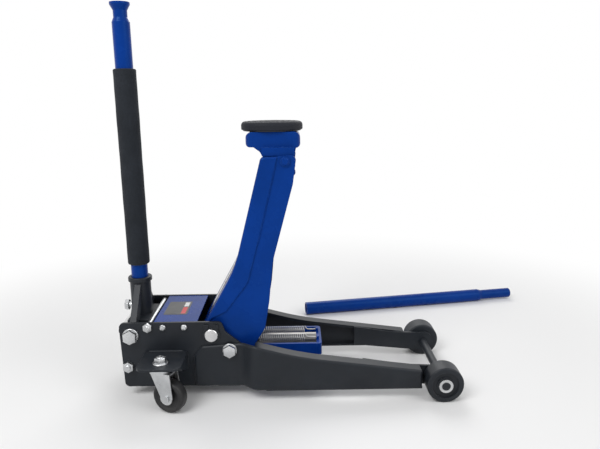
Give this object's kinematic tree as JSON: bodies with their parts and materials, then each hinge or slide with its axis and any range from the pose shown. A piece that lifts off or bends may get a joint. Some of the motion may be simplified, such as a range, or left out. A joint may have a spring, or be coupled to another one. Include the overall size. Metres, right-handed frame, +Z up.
{
  "type": "trolley jack",
  "caption": "Low hydraulic trolley jack: a handle in a rocking socket pumps a ram that raises a cranked arm, whose leveling bars keep the round padded saddle flat.",
  "frame": {"origin": "on the floor, on the mid-plane, under the front axle", "axes": "+X forward to the front wheels, +Y to the jack's left, +Z up"},
  "size_m": [0.9438, 0.6029, 0.729],
  "materials": {
    "blue_paint": "gloss paint",
    "black_paint": "satin paint",
    "iron": "painted casting",
    "zinc": "zinc plate",
    "steel": "ground steel",
    "rubber": "matte",
    "tyre": "moulded",
    "foam": "closed-cell foam"
  },
  "bodies": {
    "frame": {"axle_retainers": "zinc", "caster_bracket_left": "black_paint", "caster_bracket_right": "black_paint", "caster_studs": "zinc", "cover_bars": "iron", "cover_plate": "blue_paint", "cover_screws": "zinc", "cylinder_head": "iron", "front_axle": "steel", "handle_extension": "blue_paint", "link_anchors": "iron", "lower_tie_rod": "zinc", "main_pivot_pin": "steel", "oil_filler_plug": "rubber", "pivot_pin_clips": "zinc", "plunger_spring_left": "steel", "plunger_spring_right": "steel", "pump_barrels": "steel", "pump_block": "iron", "rail_bolts": "zinc", "reservoir_tube": "iron", "return_spring_left": "steel", "return_spring_right": "steel", "side_plate_left": "black_paint", "side_plate_right": "black_paint", "side_rail_left": "black_paint", "side_rail_right": "black_paint", "socket_pivot_bolts": "zinc", "tie_rod_nuts": "zinc", "upper_tie_rod": "zinc"},
    "lift_arm": {"arm_top_channel": "blue_paint", "arm_side_left": "blue_paint", "arm_side_right": "blue_paint", "lug_pins": "steel", "saddle_hinge_pin": "steel"},
    "bracket": {"saddle_bracket": "blue_paint"},
    "link_bars": {"leveling_bars": "steel"},
    "saddle": {"saddle_dish": "steel", "saddle_pad": "rubber"},
    "yoke": {"yoke_rail_left": "blue_paint", "yoke_rail_right": "blue_paint", "yoke_crosshead": "blue_paint", "ram_piston": "steel"},
    "socket": {"handle_socket": "black_paint", "roller_pin": "steel", "handle_clamp_bolt": "zinc"},
    "roller": {"pump_roller": "steel"},
    "plungers": {"pump_plungers": "steel"},
    "coupler": {"release_coupler": "steel"},
    "handle": {"handle_tube": "blue_paint", "foam_grip": "foam"},
    "valve": {"release_valve": "steel"},
    "front_wheel_left": {"front_wheel_left": "black_paint"},
    "caster_left": {"caster_fork_left": "zinc", "caster_axle_left": "zinc"},
    "caster_wheel_left": {"caster_wheel_left": "tyre"},
    "front_wheel_right": {"front_wheel_right": "black_paint"},
    "caster_right": {"caster_fork_right": "zinc", "caster_axle_right": "zinc"},
    "caster_wheel_right": {"caster_wheel_right": "tyre"}
  },
  "joints": [
    {"name": "lift_arm", "type": "hinge", "parent": "frame", "child": "lift_arm", "pos_m": [-0.436, 0, 0.124], "axis": [0, -1, 0], "range_deg": [-80, 0], "deforming": ["return_spring_left", "return_spring_right"]},
    {"name": "saddle_level", "type": "hinge", "parent": "lift_arm", "child": "bracket", "pos_m": [-0.29177, 0, 0.44794], "axis": [0, -1, 0], "range_deg": [-0.1, 80.1]},
    {"name": "leveling_bars", "type": "hinge", "parent": "frame", "child": "link_bars", "pos_m": [-0.424, 0, 0.10322], "axis": [0, -1, 0], "range_deg": [-80.1, 0.1]},
    {"name": "saddle_turn", "type": "hinge", "parent": "bracket", "child": "saddle", "pos_m": [-0.31627, 0, 0.49894], "axis": [0, 0, 1], "continuous": true},
    {"name": "yoke_slide", "type": "slide", "parent": "frame", "child": "yoke", "axis": [1, 0, 0], "range_m": [-0.06438, 0.0001]},
    {"name": "pump", "type": "hinge", "parent": "frame", "child": "socket", "pos_m": [-0.588, 0, 0.1244], "axis": [0, -1, 0], "range_deg": [0, 50], "deforming": ["plunger_spring_left", "plunger_spring_right"]},
    {"name": "roller_spin", "type": "hinge", "parent": "socket", "child": "roller", "pos_m": [-0.60868, 0, 0.12075], "axis": [0, 1, 0], "continuous": true},
    {"name": "plunger_stroke", "type": "slide", "parent": "frame", "child": "plungers", "axis": [0.5736, 0, -0.8192], "range_m": [-0.0001, 0.01785]},
    {"name": "release_turn", "type": "hinge", "parent": "socket", "child": "coupler", "pos_m": [-0.584, 0, 0.15], "axis": [0, 0, 1], "range_deg": [0, 100]},
    {"name": "release_valve", "type": "hinge", "parent": "frame", "child": "valve", "pos_m": [-0.552, 0, 0.112], "axis": [0, 0, 1], "range_deg": [-0.1, 100.1]},
    {"name": "handle_pull", "type": "slide", "parent": "coupler", "child": "handle", "axis": [0, 0, 1], "range_m": [0, 0.12]},
    {"name": "front_wheel_left", "type": "hinge", "parent": "frame", "child": "front_wheel_left", "pos_m": [0, 0.103, 0.0345], "axis": [0, 1, 0], "continuous": true},
    {"name": "caster_swivel_left", "type": "hinge", "parent": "frame", "child": "caster_left", "pos_m": [-0.523, 0.1275, 0.08], "axis": [0, 0, 1], "continuous": true},
    {"name": "caster_roll_left", "type": "hinge", "parent": "caster_left", "child": "caster_wheel_left", "pos_m": [-0.50675, 0.12463, 0.031], "axis": [0.1736, 0.9848, 0], "continuous": true},
    {"name": "front_wheel_right", "type": "hinge", "parent": "frame", "child": "front_wheel_right", "pos_m": [0, -0.103, 0.0345], "axis": [0, 1, 0], "continuous": true},
    {"name": "caster_swivel_right", "type": "hinge", "parent": "frame", "child": "caster_right", "pos_m": [-0.523, -0.1275, 0.08], "axis": [0, 0, 1], "continuous": true},
    {"name": "caster_roll_right", "type": "hinge", "parent": "caster_right", "child": "caster_wheel_right", "pos_m": [-0.5075, -0.13314, 0.031], "axis": [0.342, 0.9397, 0], "continuous": true}
  ],
  "couplings": [
    {"joint": "saddle_level", "follows": "lift_arm", "ratio": -1},
    {"joint": "leveling_bars", "follows": "lift_arm", "ratio": 1},
    {"joint": "yoke_slide", "follows": "lift_arm", "m_per_rad": 0.046036},
    {"joint": "plunger_stroke", "follows": "pump", "m_per_rad": 0.02034},
    {"joint": "release_valve", "follows": "release_turn", "ratio": 1}
  ]
}
